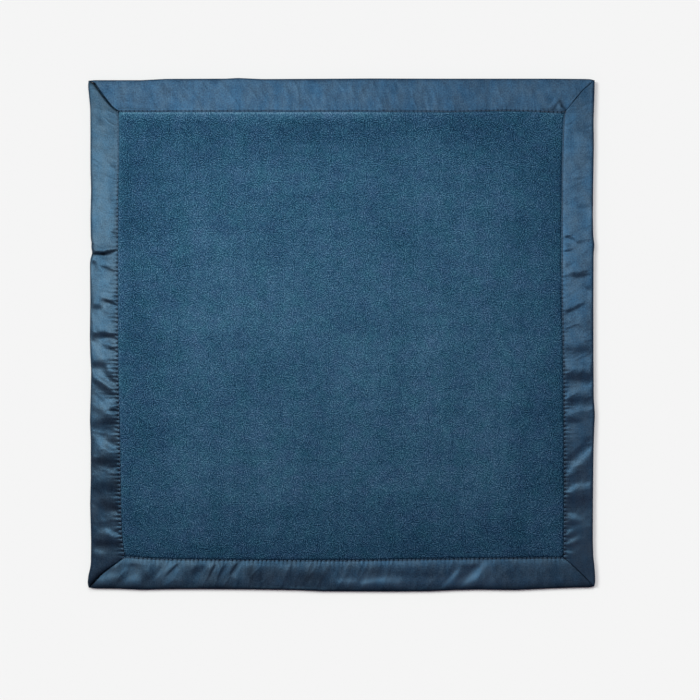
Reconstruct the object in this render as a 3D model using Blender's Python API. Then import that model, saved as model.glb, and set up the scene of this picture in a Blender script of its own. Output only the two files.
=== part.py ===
"""A comforter cloth: two panels of fleece, edged all round with folded satin.

The cloth lies flat and face up. Metres, +Z up. The origin is in the middle of the cloth, on the
surface that it lies on. +X is the right side and +Y the top side, as seen from above.

The cloth folds in half along x = 0, front side inwards. Everything that crosses that line is made
as a left and a right object, so that each half can move as a whole.
"""

import bmesh
import bpy
from mathutils import Vector

MM = 0.001

# Driving dimensions, in millimetres
WIDTH = 356.0  # across, outer fold to outer fold
HEIGHT = 360.0  # top to bottom, outer fold to outer fold
MID = 2.5  # height of the middle of the cloth above what it lies on; it is twice this thick
FOLD_AXIS_Z = 6.5  # the halves turn about a line this high, so the front faces close 3 mm apart
FOLD_GAP = 0.3  # each half stops this far short of the fold line
TOUCH = 0.3  # gap between pieces that touch on the real cloth
MITRE_GAP = 0.3  # between two strips at a mitred corner
SEAM = 20.5  # topstitch line, measured in from the outer fold
BINDING = 22.0  # visible width of the satin
HEM_EDGE = 14.0  # the turned-under hem reaches back out to here
THREAD_R = 0.2  # topstitch thread
MITRE_THREAD_R = 0.15

# The satin folds round the edge as a U lying on its side, with its hems turned in at the seam.
# Points are (u, z): u is measured in from the outer fold, z up from the middle of the cloth.
LEG_OUTSIDE = [
    (0.00, 0.00),
    (0.15, 1.00),
    (0.70, 1.75),
    (1.80, 2.28),
    (4.00, 2.50),
    (13.0, 2.50),
    (17.5, 2.25),
    (20.0, 1.80),
    (21.6, 1.75),
]
NOSE = (BINDING, 1.40)
LEG_INSIDE = [
    (0.30, 0.00),
    (0.45, 0.92),
    (0.95, 1.53),
    (1.95, 1.99),
    (4.10, 2.20),
    (12.95, 2.20),
    (17.4, 1.95),
    (19.9, 1.50),
    (21.3, 1.45),
]
HEM_OUTSIDE = [(21.3, 1.35), (19.85, 1.40), (17.3, 1.85), (HEM_EDGE, 2.05)]
HEM_INSIDE = [(HEM_EDGE, 1.75), (17.2, 1.55), (19.8, 1.10), (21.6, 1.05)]

# Face of a fleece panel: u in from the edge of the cloth, z out from the middle of the cloth.
# The panel thins under the satin, is pinched in the seam, and rises to its full loft in the field.
PANEL_EDGE = 2.6
PANEL_PROFILE = [
    (PANEL_EDGE, 0.60),
    (3.6, 1.05),
    (5.5, 1.30),
    (13.0, 1.30),
    (17.3, 1.20),
    (20.0, 0.75),
    (22.3, 0.78),
    (22.9, 1.15),
    (24.0, 1.75),
    (26.0, 2.25),
    (30.0, 2.50),
]
PANEL_BACK = 0.15  # half the gap between the two panels

# Path of the thread inside a mitred corner, round the edge of the panels from front to back.
MITRE_PATH = [(13.0, 1.75), (5.6, 1.75), (3.0, 1.52), (1.75, 1.05), (1.30, 0.0)]

FLEECE_BLUE = (0.030, 0.088, 0.150, 1.0)
SATIN_BLUE = (0.066, 0.138, 0.226, 1.0)
THREAD_BLUE = (0.045, 0.105, 0.190, 1.0)


def clear_scene():
    for obj in list(bpy.data.objects):
        bpy.data.objects.remove(obj, do_unlink=True)


def material(name, colour, roughness, sheen=0.0):
    made = bpy.data.materials.new(name)
    made.use_nodes = True
    shader = made.node_tree.nodes["Principled BSDF"]
    shader.inputs["Base Color"].default_value = colour
    shader.inputs["Roughness"].default_value = roughness
    shader.inputs["Metallic"].default_value = 0.0
    shader.inputs["Sheen Weight"].default_value = sheen
    made.diffuse_color = colour
    return made


def add_object(name, bm, mat, parent, smooth=False):
    """The mesh as an object, its faces pointing out."""
    bmesh.ops.recalc_face_normals(bm, faces=bm.faces)
    mesh = bpy.data.meshes.new(name)
    bm.to_mesh(mesh)
    bm.free()
    if smooth:
        mesh.shade_smooth()
        mesh.set_sharp_from_angle(angle=0.7)
    obj = bpy.data.objects.new(name, mesh)
    obj.data.materials.append(mat)
    bpy.context.scene.collection.objects.link(obj)
    obj.parent = parent
    obj.matrix_parent_inverse = parent.matrix_world.inverted()
    return obj


def placed(side, u, s, z):
    """A point given by its side of the cloth, u in from that edge, s along it and z, in metres.

    s runs upwards on the left and right sides and to the right on the top and bottom sides.
    """
    if side == "left":
        x, y = -WIDTH / 2 + u, s
    elif side == "right":
        x, y = WIDTH / 2 - u, s
    elif side == "top":
        x, y = s, HEIGHT / 2 - u
    else:
        x, y = s, -HEIGHT / 2 + u
    return Vector((x, y, z)) * MM


def strip_section():
    """The folded satin's closed outline, and the faces that fill it, as indices into it.

    The front half is the leg outside, the nose where the hem turns under, the hem and the leg
    inside. The back half is its mirror image, and the two meet at the outer fold.
    """
    outside = LEG_OUTSIDE + [NOSE]
    inside = LEG_INSIDE[::-1]
    front = outside[1:] + HEM_INSIDE[::-1] + HEM_OUTSIDE[::-1] + inside[:-1]
    back = [(u, -z) for u, z in front[::-1]]
    section = [outside[0]] + front + [inside[-1]] + back
    index = {point: i for i, point in enumerate(section)}

    def band(a, b):
        return [(a[i], a[i + 1], b[i + 1], b[i]) for i in range(len(a) - 1)]

    faces = band(LEG_OUTSIDE, LEG_INSIDE) + band(HEM_INSIDE, HEM_OUTSIDE[::-1])
    faces.append((LEG_OUTSIDE[-1], NOSE, HEM_INSIDE[-1], HEM_OUTSIDE[0], LEG_INSIDE[-1]))
    faces += [tuple((u, -z) for u, z in face) for face in faces]
    return section, [[index[point] for point in face] for face in faces]


def binding_strip(name, side, start, end, mat, parent):
    """A length of folded satin. start and end are "mitre", or the place of a straight cut."""
    section, caps = strip_section()
    half = (HEIGHT if side in ("left", "right") else WIDTH) / 2
    back_off = MITRE_GAP / 2 * 2**0.5
    bm = bmesh.new()

    def ring(place, sign):
        made = []
        for u, z in section:
            s = sign * (half - u - back_off) if place == "mitre" else place
            made.append(bm.verts.new(placed(side, u, s, MID + z)))
        return made

    low, high = ring(start, -1), ring(end, 1)
    count = len(section)
    for i in range(count):
        j = (i + 1) % count
        bm.faces.new((low[i], low[j], high[j], high[i]))
    for ends in (low, high):
        for face in caps:
            bm.faces.new([ends[i] for i in face])
    return add_object(name, bm, mat, parent, smooth=True)


def fleece_half(name, hand, up, mat, parent):
    """Half a panel. hand is -1 for the left half, 1 for the right; up is 1 for the front panel.

    The face is a set of outlines, each further in and at the profile's height there. Each outline
    starts and ends on the cut beside the fold line and turns the half's two mitred corners.
    """
    bm = bmesh.new()
    cut = hand * FOLD_GAP

    def outline(u, z):
        x, y = hand * (WIDTH / 2 - u), HEIGHT / 2 - u
        return [
            bm.verts.new(Vector((px, py, MID + up * z)) * MM)
            for px, py in ((cut, -y), (x, -y), (x, y), (cut, y))
        ]

    inner = outline(PANEL_EDGE, PANEL_BACK)
    rings = [inner] + [outline(u, z) for u, z in PANEL_PROFILE]
    for a, b in zip(rings, rings[1:]):
        for i in range(3):
            bm.faces.new((a[i], a[i + 1], b[i + 1], b[i]))
    bm.faces.new(rings[-1])  # the field
    bm.faces.new(inner)  # the side that meets the other panel
    bm.faces.new([r[0] for r in rings] + [r[3] for r in rings[::-1]])  # the cut at the fold line
    bmesh.ops.triangulate(bm, faces=[f for f in bm.faces if len(f.verts) > 4])
    return add_object(name, bm, mat, parent)


def thread_run(name, points, radius, mat, parent):
    """A thread along straight runs: a POLY curve with a round bevel and closed ends."""
    curve = bpy.data.curves.new(name, "CURVE")
    curve.dimensions = "3D"
    curve.bevel_depth = radius * MM
    curve.bevel_resolution = 1
    curve.use_fill_caps = True
    spline = curve.splines.new("POLY")
    spline.points.add(len(points) - 1)
    for point, place in zip(spline.points, points):
        point.co = (*place, 1.0)
    obj = bpy.data.objects.new(name, curve)
    obj.data.materials.append(mat)
    bpy.context.scene.collection.objects.link(obj)
    obj.parent = parent
    obj.matrix_parent_inverse = parent.matrix_world.inverted()
    return obj


def stitch_run(name, side, start, end, up, mat, parent):
    """The topstitch thread on one side, lying on the satin: up is 1 on the front, -1 behind."""
    z = MID + up * (LEG_OUTSIDE[-2][1] + TOUCH + THREAD_R)
    places = [start + (end - start) * i / 8 for i in range(9)]
    return thread_run(
        name, [placed(side, SEAM, s, z) for s in places], THREAD_R, mat, parent
    )


def mitre_seam(name, hand, top, mat, parent):
    """The thread that holds a mitred corner shut, inside the satin and round the panels' edge."""
    path = MITRE_PATH + [(u, -z) for u, z in MITRE_PATH[-2::-1]]
    points = [
        Vector((hand * (WIDTH / 2 - u), top * (HEIGHT / 2 - u), MID + z)) * MM
        for u, z in path
    ]
    return thread_run(name, points, MITRE_THREAD_R, mat, parent)


def main():
    clear_scene()
    fleece = material("fleece", FLEECE_BLUE, 0.95, sheen=0.4)
    satin = material("satin", SATIN_BLUE, 0.38)
    thread = material("thread", THREAD_BLUE, 0.55)

    left_half = bpy.data.objects.new("left_half", None)
    right_half = bpy.data.objects.new("right_half", None)
    right_half.location = (0.0, 0.0, FOLD_AXIS_Z * MM)  # on the axis that the half turns about
    for empty in (left_half, right_half):
        bpy.context.scene.collection.objects.link(empty)
    bpy.context.view_layer.update()

    long_s = HEIGHT / 2 - SEAM  # where the side seams end
    wide_s = WIDTH / 2 - SEAM - 2 * THREAD_R - TOUCH  # the top and bottom seams stop short of them

    for word, hand, half in (("left", -1, left_half), ("right", 1, right_half)):
        for panel, up in (("front", 1), ("back", -1)):
            fleece_half(f"{panel}_fleece_{word}", hand, up, fleece, half)
        binding_strip(f"binding_{word}", word, "mitre", "mitre", satin, half)
        for side in ("top", "bottom"):
            start, end = ("mitre", -FOLD_GAP) if hand < 0 else (FOLD_GAP, "mitre")
            binding_strip(f"binding_{side}_{word}", side, start, end, satin, half)
        for kind, up in (("needle", 1), ("bobbin", -1)):
            stitch_run(f"{kind}_thread_{word}", word, -long_s, long_s, up, thread, half)
            for side in ("top", "bottom"):
                run = sorted((hand * FOLD_GAP, hand * wide_s))
                stitch_run(f"{kind}_thread_{side}_{word}", side, *run, up, thread, half)
        for side, top in (("top", 1), ("bottom", -1)):
            mitre_seam(f"mitre_seam_{side}_{word}", hand, top, thread, half)


main()
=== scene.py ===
"""A comforter cloth laid flat: two fleece panels, bound all round with folded satin and topstitched.

Metres, +Z up, the cloth's middle at the origin, on the surface that it lies on. Places that were
read off the picture are written in its own pixels (700 each way, y downwards); pic_x and pic_y
turn them into metres. Heights and widths of the cloth's own shape are in millimetres.
"""

import bpy
import numpy as np
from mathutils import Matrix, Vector


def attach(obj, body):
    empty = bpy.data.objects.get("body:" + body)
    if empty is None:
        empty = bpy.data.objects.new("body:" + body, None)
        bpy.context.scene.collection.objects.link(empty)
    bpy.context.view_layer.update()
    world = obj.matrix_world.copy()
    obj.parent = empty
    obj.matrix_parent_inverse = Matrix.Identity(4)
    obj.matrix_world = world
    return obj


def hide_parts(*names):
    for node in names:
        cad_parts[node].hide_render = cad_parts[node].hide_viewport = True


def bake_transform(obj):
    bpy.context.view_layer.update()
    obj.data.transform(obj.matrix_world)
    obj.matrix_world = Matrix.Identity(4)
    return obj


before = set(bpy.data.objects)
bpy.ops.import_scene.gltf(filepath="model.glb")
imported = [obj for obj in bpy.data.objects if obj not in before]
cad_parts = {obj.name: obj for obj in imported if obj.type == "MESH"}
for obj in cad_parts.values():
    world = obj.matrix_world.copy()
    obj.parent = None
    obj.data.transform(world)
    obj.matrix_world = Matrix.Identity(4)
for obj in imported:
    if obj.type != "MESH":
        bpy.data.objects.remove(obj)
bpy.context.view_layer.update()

MM = 0.001
PIXEL = 0.7073 * MM
WIDTH, HEIGHT = 0.356, 0.360
MID = 2.5  # height of the middle of the cloth, mm
BINDING = 22.0  # satin, outer fold to nose
SEAM = 21.3  # stitch line in from the outer fold
NOSE_PAST_SEAM = 0.7
SATIN_THICK = 0.24
PITCH = 3.0  # one stitch
THREAD_R = 0.20


def pic_x(p):
    return (np.asarray(p, float) - 342.0) * PIXEL


def pic_y(p):
    return (333.5 - np.asarray(p, float)) * PIXEL


# ---------------------------------------------------------------- small tools


def step(low, high, value):
    """0 below low, 1 above high and smooth between them."""
    t = np.clip((value - low) / (high - low), 0.0, 1.0)
    return t * t * (3 - 2 * t)


def bell(value, width):
    return np.exp(-((value / width) ** 2))


def smooth_line(points, blur=4.0):
    """A soft curve along (place, value) points, as a function of place."""
    at = np.arange(-80.0, 781.0, 0.5)
    place, value = np.array(points, float).T
    raw = np.interp(at, place, value)
    reach = int(6 * blur)
    weight = np.exp(-0.5 * (np.arange(-reach, reach + 1) * 0.5 / blur) ** 2)
    soft = np.convolve(np.pad(raw, reach, mode="edge"), weight / weight.sum(), mode="valid")
    return lambda p: np.interp(p, at, soft)


def sampled(low, high, spacing):
    """Places from low to high, as far apart as spacing(place) says."""
    fine = np.linspace(low, high, 6001)
    need = 1.0 / spacing(0.5 * (fine[1:] + fine[:-1]))
    total = np.concatenate([[0.0], np.cumsum(need * np.diff(fine))])
    count = max(2, int(round(total[-1])))
    return np.interp(np.linspace(0, total[-1], count + 1), total, fine)


def through(points, count=1200):
    """A smooth curve through the points (Catmull-Rom, by chord length), densely sampled."""
    p = np.array(points, float)
    p = np.vstack([2 * p[0] - p[1], p, 2 * p[-1] - p[-2]])
    gap = np.sqrt(np.linalg.norm(np.diff(p, axis=0), axis=1))
    t = np.concatenate([[0.0], np.cumsum(gap)])
    out = []
    for i in range(1, len(p) - 2):
        q = np.linspace(t[i], t[i + 1], max(4, count // (len(p) - 3)), endpoint=False)[:, None]
        a1 = (t[i] - q) / (t[i] - t[i - 1]) * p[i - 1] + (q - t[i - 1]) / (t[i] - t[i - 1]) * p[i]
        a2 = (t[i + 1] - q) / (t[i + 1] - t[i]) * p[i] + (q - t[i]) / (t[i + 1] - t[i]) * p[i + 1]
        a3 = (t[i + 2] - q) / (t[i + 2] - t[i + 1]) * p[i + 1] + (q - t[i + 1]) / (
            t[i + 2] - t[i + 1]
        ) * p[i + 2]
        b1 = (t[i + 1] - q) / (t[i + 1] - t[i - 1]) * a1 + (q - t[i - 1]) / (
            t[i + 1] - t[i - 1]
        ) * a2
        b2 = (t[i + 2] - q) / (t[i + 2] - t[i]) * a2 + (q - t[i]) / (t[i + 2] - t[i]) * a3
        out.append((t[i + 1] - q) / (t[i + 1] - t[i]) * b1 + (q - t[i]) / (t[i + 1] - t[i]) * b2)
    out.append(p[-2][None])
    return np.vstack(out)


class Grain:
    """Smooth value noise from -1 to 1 on a seeded lattice; the cell sizes are those of x and y."""

    def __init__(self, seed):
        self.table = np.random.default_rng(seed).uniform(-1.0, 1.0, (256, 256))

    def __call__(self, x, y, cell_x, cell_y=None):
        x, y = np.asarray(x) / cell_x, np.asarray(y) / (cell_y or cell_x)
        xi, yi = np.floor(x).astype(int), np.floor(y).astype(int)
        fx, fy = x - xi, y - yi
        fx, fy = fx**3 * (fx * (6 * fx - 15) + 10), fy**3 * (fy * (6 * fy - 15) + 10)
        t = self.table
        a, b, c, d = xi & 255, (xi + 1) & 255, yi & 255, (yi + 1) & 255
        return (t[a, c] * (1 - fx) + t[b, c] * fx) * (1 - fy) + (
            t[a, d] * (1 - fx) + t[b, d] * fx
        ) * fy


# ---------------------------------------------------------------- the four sides

# Each mitre line, as (x, y) in the picture, from the tip of the corner to where the seams meet
CORNERS = {
    "top_left": [
        (88.6, 80.8), (91.0, 81.3), (94.0, 83.2), (97.5, 88.0), (104.2, 97.4), (111.6, 106.3),
        (117.8, 111.0),
    ],
    "top_right": [
        (594.6, 80.4), (589.2, 85.0), (583.0, 90.4), (577.6, 96.8), (570.8, 105.0), (565.6, 111.3),
    ],
    "bottom_left": [
        (88.7, 587.5), (92.2, 585.4), (96.4, 580.8), (103.6, 573.4), (112.4, 566.8), (121.9, 559.4),
    ],
    "bottom_right": [
        (594.1, 586.3), (590.6, 583.4), (584.6, 577.4), (575.2, 568.2), (569.6, 562.8), (564.4, 558.3),
    ],
}  # fmt: skip

# Where the outer fold and the stitches run: (place along the side, place across it)
LEFT_FOLD = [
    (80, 88.6), (86, 88.1), (96, 89.1), (108, 90.3), (130, 90.5), (168, 90.5), (190, 91.1),
    (216, 90.5), (238, 90.8), (243, 91.8), (247, 91.2), (253, 92.6), (258, 90.6), (264, 90.0),
    (300, 90.4), (336, 89.9), (352, 90.3), (372, 91.2), (398, 90.6), (420, 90.0), (440, 90.8),
    (478, 90.8), (504, 90.2), (540, 91.1), (563, 90.9), (569, 90.0), (575, 88.4), (583, 87.6), (588, 88.7),
]  # fmt: skip
RIGHT_FOLD = [
    (80, 594.6), (96, 594.3), (120, 593.5), (144, 593.8), (180, 593.2), (216, 592.8),
    (236, 593.2), (245, 594.4), (254, 593.5), (300, 593.3), (360, 593.4), (398, 593.7),
    (414, 594.8), (428, 594.2), (444, 593.6), (470, 593.2), (504, 592.9), (540, 592.7),
    (556, 593.2), (564, 594.2), (574, 595.0), (583, 595.2), (587, 594.1),
]  # fmt: skip
TOP_FOLD = [
    (88, 80.8), (94, 80.2), (142, 80.2), (166, 78.9), (226, 78.7), (238, 78.0), (262, 79.1),
    (320, 78.8), (370, 78.5), (440, 78.7), (550, 78.7), (584, 79.0), (591, 79.3), (595, 80.4),
]  # fmt: skip
BOTTOM_FOLD = [
    (88, 587.4), (92, 588.3), (100, 588.5), (118, 588.7), (142, 589.7), (166, 589.1), (202, 589.0),
    (250, 589.3), (298, 590.1), (322, 591.2), (394, 591.5), (430, 591.2), (454, 590.1),
    (478, 589.5), (514, 590.1), (550, 588.4), (580, 587.4), (590, 587.3), (595, 586.2),
]  # fmt: skip
LEFT_SEAM = [
    (111, 117.9), (130, 118.2), (165, 118.1), (200, 117.5), (300, 117.3), (370, 117.6),
    (405, 118.5), (440, 119.4), (510, 120.4), (538, 121.6), (547, 122.4), (553, 123.8), (559, 125.0),
]  # fmt: skip
RIGHT_SEAM = [
    (111, 564.7), (130, 563.2), (165, 562.5), (230, 561.9), (300, 562.2), (340, 563.2),
    (370, 563.8), (440, 564.5), (500, 564.7), (525, 564.6), (540, 564.3), (558, 564.2),
]  # fmt: skip
TOP_SEAM = [
    (118, 111.3), (165, 111.4), (235, 111.3), (305, 111.3), (375, 111.3), (445, 111.7),
    (500, 110.8), (520, 110.7), (540, 111.6), (552, 112.4), (564, 112.8),
]  # fmt: skip
BOTTOM_SEAM = [
    (122, 556.8), (128, 556.8), (134, 557.5), (143, 558.5), (165, 559.4), (235, 560.3), (305, 560.7), (375, 560.2),
    (445, 559.1), (515, 558.2), (545, 557.8), (564, 557.8),
]  # fmt: skip


class Side:
    """One side of the cloth: s runs along it, up or to the right, and u in from its outer fold.

    f is u as a share of the satin's width, which differs a little from place to place.
    """

    def __init__(self, name, fold, seam, low, high):
        self.name = name
        self.upright = name in ("left", "right")
        self.inward = 1 if name in ("left", "bottom") else -1
        self.pic = (pic_x if self.upright else pic_y), (pic_y if self.upright else pic_x)
        self.fold, self.seam = smooth_line(fold, 1.6), smooth_line(seam, 5.0)
        self.ends = []
        for corner in (CORNERS[low], CORNERS[high]):
            across, along = (0, 1) if self.upright else (1, 0)
            to_across, to_along = self.pic
            line = through(corner)
            line = np.column_stack([to_along(line[:, along]), to_across(line[:, across])])
            more = line[-1] + (line[-1] - line[0]) * (NOSE_PAST_SEAM / SEAM)
            line = np.vstack([line, more])
            share = (line[:, 1] - line[0, 1]) / (line[-1, 1] - line[0, 1])
            self.ends.append((share, line))
        # the stitches run from one inner corner to the other
        self.stitch_ends = [float(self.end(SEAM / BINDING, which)[0]) for which in (0, 1)]
        run = self.stitch_ends[1] - self.stitch_ends[0]
        self.stitches = int(round(run / (PITCH * MM)))
        self.pitch = run / self.stitches

    def pixel(self, s):
        return 333.5 - s / PIXEL if self.upright else 342.0 + s / PIXEL

    def across(self, f, s):
        p = self.pixel(s)
        fold = self.pic[0](self.fold(p))
        nose = self.pic[0](self.seam(p)) + self.inward * NOSE_PAST_SEAM * MM
        return fold + f * (nose - fold)

    def end(self, f, which):
        """Where the mitre line at one end is, along and across, at the share f of the width."""
        share, line = self.ends[which]
        return np.interp(f, share, line[:, 0]), np.interp(f, share, line[:, 1])

    def place(self, f, s):
        """x and y of a point of the strip, drawn on to the mitre lines at its ends."""
        made = self.across(f, s)
        for which in (0, 1):
            s_end, across_end = self.end(f, which)
            miss = across_end - self.across(f, s_end)
            made = made + miss * bell(s - s_end, 1.8 * MM)
        return (made, s) if self.upright else (s, made)

    def to_end(self, f, s):
        """mm from the nearer mitre line."""
        return np.minimum(s - self.end(f, 0)[0], self.end(f, 1)[0] - s) * 0.707 / MM

    def phase(self, s):
        """How many stitches along s is; the needle holes are at whole numbers."""
        count = (s - self.stitch_ends[0]) / self.pitch
        return count + 0.05 * np.sin(count * 2.3) + 0.04 * np.sin(count * 0.71)


SIDES = {
    "left": Side("left", LEFT_FOLD, LEFT_SEAM, "bottom_left", "top_left"),
    "right": Side("right", RIGHT_FOLD, RIGHT_SEAM, "bottom_right", "top_right"),
    "top": Side("top", TOP_FOLD, TOP_SEAM, "top_left", "top_right"),
    "bottom": Side("bottom", BOTTOM_FOLD, BOTTOM_SEAM, "bottom_left", "bottom_right"),
}

# ---------------------------------------------------------------- creases in the satin

# Each band is a slope in the satin that runs from (x0, y0) to (x1, y1) in the picture:
# (x0, y0, x1, y1, half width at each end in pixels, tilt). A positive tilt slopes down towards
# the upper left, where the light is, and looks bright; a negative one looks dark.
BANDS = {
    "left": [
        (100, 128, 113, 127, 3.6, 3.6, -0.06),
        (103, 191, 112, 189, 3.6, 3.6, -0.06),
        (109, 229, 118, 237, 1.6, 1.8, -0.27),
        (107, 233, 117, 241, 1.5, 1.5, 0.14),
        (90, 244, 94, 244, 1.8, 1.4, -0.35),
        (92, 253.6, 109, 253.4, 2.7, 2.4, -0.78),
        (105, 253.2, 119, 249.3, 2.3, 1.3, -0.70),
        (104, 258, 113, 262, 3.0, 2.4, 0.12),
        (90, 262, 97, 262, 5.0, 4.6, -0.36),
        (112, 257, 118, 267, 1.3, 1.3, -0.25),
        (109, 261, 117, 269, 1.4, 1.3, 0.18),
        (104, 266, 114, 271, 2.6, 2.2, -0.28),
        (101, 299, 112, 301, 2.7, 2.2, -0.30),
        (107, 300.6, 119, 303.9, 1.9, 1.6, -0.62),
        (90, 306, 103, 308, 4.6, 4.0, -0.30),
        (105, 308, 115, 309, 2.6, 2.4, 0.12),
        (90, 337, 106, 334, 5.0, 3.9, -0.42),
        (102, 334, 119, 337, 3.3, 2.4, -0.60),
        (103, 341, 114, 343, 2.4, 2.2, 0.12),
        (104, 345, 112, 347.6, 2.2, 2.0, -0.25),
        (109, 348, 119, 350, 2.0, 1.9, -0.50),
        (99, 353, 113, 355, 4.0, 4.0, 0.12),
        (91, 364, 107, 366, 4.6, 3.8, -0.36),
        (109, 365, 118, 366, 1.8, 1.7, 0.22),
        (106, 372, 118, 382, 2.8, 3.6, -0.33),
        (91, 370, 104, 380, 3.4, 3.2, 0.16),
        (101, 378, 118.5, 389.5, 3.0, 2.6, 0.38),
        (90, 379, 104, 386, 4.2, 4.0, -0.34),
        (100, 385, 119, 396, 4.2, 3.0, -0.46),
        (102, 404, 113, 406, 4.0, 4.0, 0.24),
        (112, 409.3, 120, 409.3, 2.0, 1.9, -0.70),
        (108, 412.5, 120, 414, 1.6, 1.6, 0.36),
        (103, 421, 120, 422, 6.2, 6.6, -0.42),
        (90, 424, 104, 424, 5.0, 5.0, -0.20),
        (90, 431, 104, 441, 3.0, 4.0, 0.16),
        (101, 440, 113, 449, 4.6, 4.0, 0.38),
        (109, 448.5, 119, 452, 3.0, 2.0, 0.38),
        (109, 438, 119, 443, 4.0, 4.0, -0.20),
        (99, 461, 120, 462, 5.4, 5.6, -0.38),
        (89, 462, 100, 462, 5.0, 5.0, -0.22),
        (111, 466.5, 120, 466.3, 1.5, 1.5, -0.50),
        (109, 472, 119, 471.5, 1.8, 1.5, 0.10),
        (90, 474, 94, 475, 2.4, 1.8, 0.26),
        (95, 487, 120, 487, 8.0, 8.0, -0.24),
        (98, 506, 120, 505, 8.0, 8.0, -0.28),
        (112, 484.5, 119, 485, 1.6, 1.5, 0.15),
        (111, 506.5, 119, 507, 2.0, 2.0, -0.50),
        (112, 512.5, 120, 512.5, 1.8, 1.8, 0.30),
        (96, 516, 108, 530, 3.4, 3.4, 0.22),
        (104, 528, 118.5, 536, 2.8, 2.4, 0.40),
        (114, 530, 121, 530.5, 1.4, 1.4, -0.50),
        (90, 541, 121, 543, 3.8, 3.8, -0.42),
        (92, 550.5, 105, 552, 3.0, 3.2, 0.22),
    ],
    "right": [
        (575, 142, 588, 141, 4.8, 4.8, -0.12),
        (573, 178, 585, 177, 3.6, 3.6, -0.14),
        (575, 208, 592, 207, 5.5, 5.5, -0.18),
        (561, 234, 572, 238.5, 1.8, 1.9, -0.36),
        (569, 238, 579, 243, 2.0, 2.2, -0.34),
        (576, 243, 588, 239.5, 2.0, 1.8, -0.20),
        (573, 245, 582, 245, 3.0, 3.0, -0.18),
        (564, 252, 573, 249.5, 2.0, 2.0, -0.16),
        (563, 246, 570, 246, 2.4, 2.4, 0.15),
        (573, 275, 589, 273, 4.8, 4.0, -0.34),
        (585, 285, 593, 290, 4.0, 5.0, -0.26),
        (565, 313, 585, 302, 2.6, 2.6, -0.26),
        (563, 319, 580, 318, 3.0, 3.0, 0.12),
        (563, 350, 593, 350, 5.0, 5.0, -0.15),
        (565, 364, 592, 364, 4.0, 4.0, 0.12),
        (563, 377, 593, 377, 5.5, 5.5, -0.30),
        (562, 401.5, 573, 390, 2.4, 2.4, 0.26),
        (580, 388, 593, 386, 2.6, 2.6, 0.14),
        (566, 400, 593, 398, 4.2, 4.2, -0.20),
        (566, 411, 577, 410, 3.4, 3.4, 0.16),
        (574, 408, 593, 408, 3.6, 3.6, 0.10),
        (564, 420, 579, 420, 3.6, 3.6, -0.24),
        (568, 460, 590, 437, 2.4, 2.4, -0.20),
        (565, 474, 593, 446, 3.6, 4.4, 0.31),
        (564, 493.5, 575, 486, 2.6, 3.2, 0.28),
        (572, 485, 591, 483, 3.2, 3.2, 0.22),
        (566, 500, 594, 499, 6.5, 6.5, -0.28),
        (564, 514, 577, 515, 3.2, 3.2, 0.22),
        (573, 518, 585, 519, 2.6, 2.6, 0.14),
        (566, 522.5, 578, 523, 2.4, 2.4, -0.20),
        (574, 526, 593, 524, 4.0, 4.0, 0.10),
        (563, 537, 572, 528, 2.0, 2.0, 0.28),
        (564, 537.5, 573, 534, 1.6, 1.6, -0.34),
        (564, 546, 580, 534, 2.0, 2.6, 0.25),
        (565, 546.5, 577, 542, 2.0, 2.0, -0.30),
        (563, 552, 571, 551, 2.0, 2.0, 0.30),
    ],
    "bottom": [
        (97, 579.5, 114, 576, 5.0, 5.0, 0.30),
        (115, 582, 125, 577, 3.0, 3.0, -0.20),
        (129, 565, 139, 565, 2.2, 2.2, -0.42),
        (126, 579, 141, 576, 5.0, 5.0, 0.26),
        (143, 577, 157, 577, 6.0, 6.0, -0.26),
        (156, 580, 171, 562, 3.2, 3.2, 0.28),
        (167, 575, 179, 562.5, 1.7, 1.7, -0.58),
        (172, 578, 181, 566, 2.4, 2.4, 0.24),
        (190, 571, 206, 568, 4.6, 4.6, -0.30),
        (206, 569, 213, 563, 2.0, 1.8, 0.24),
        (209, 576, 216, 562.5, 1.9, 1.7, -0.50),
        (213, 572, 220, 563.5, 1.8, 1.8, 0.24),
        (218, 578, 226, 563.5, 2.4, 2.0, -0.40),
        (229, 576, 238, 562, 1.9, 1.7, -0.60),
        (234, 577, 243, 563, 2.0, 2.0, 0.20),
        (246, 576, 327, 577, 7.5, 7.5, -0.24),
        (257, 584, 263, 568, 3.0, 3.0, -0.16),
        (284, 584, 291, 568, 3.0, 3.0, -0.18),
        (337, 581, 357, 580.5, 2.6, 2.6, 0.26),
        (360, 581.6, 385, 579.6, 3.2, 3.4, 0.36),
        (382, 580, 403, 579, 4.5, 4.0, 0.18),
        (400, 575, 441, 573, 7.0, 7.0, -0.14),
        (442, 586.5, 459, 570.5, 3.2, 2.4, 0.30),
        (458, 579, 470, 568, 2.2, 2.2, -0.30),
        (464, 567.5, 479, 564, 2.3, 2.0, -0.36),
        (461, 585, 478, 574, 4.0, 4.6, 0.32),
        (471, 580, 487, 560.5, 4.6, 3.2, 0.34),
    ],
    "top": [
        (118, 98.5, 149, 104, 2.0, 2.0, -0.20),
        (505, 103, 532, 105, 3.6, 3.6, -0.13),
        (548, 110, 555, 101, 1.6, 1.6, 0.16),
        (552.5, 110, 557.5, 101.5, 1.7, 1.6, -0.30),
        (559.5, 101, 563.5, 109, 1.9, 1.9, -0.40),
    ],
}

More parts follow.
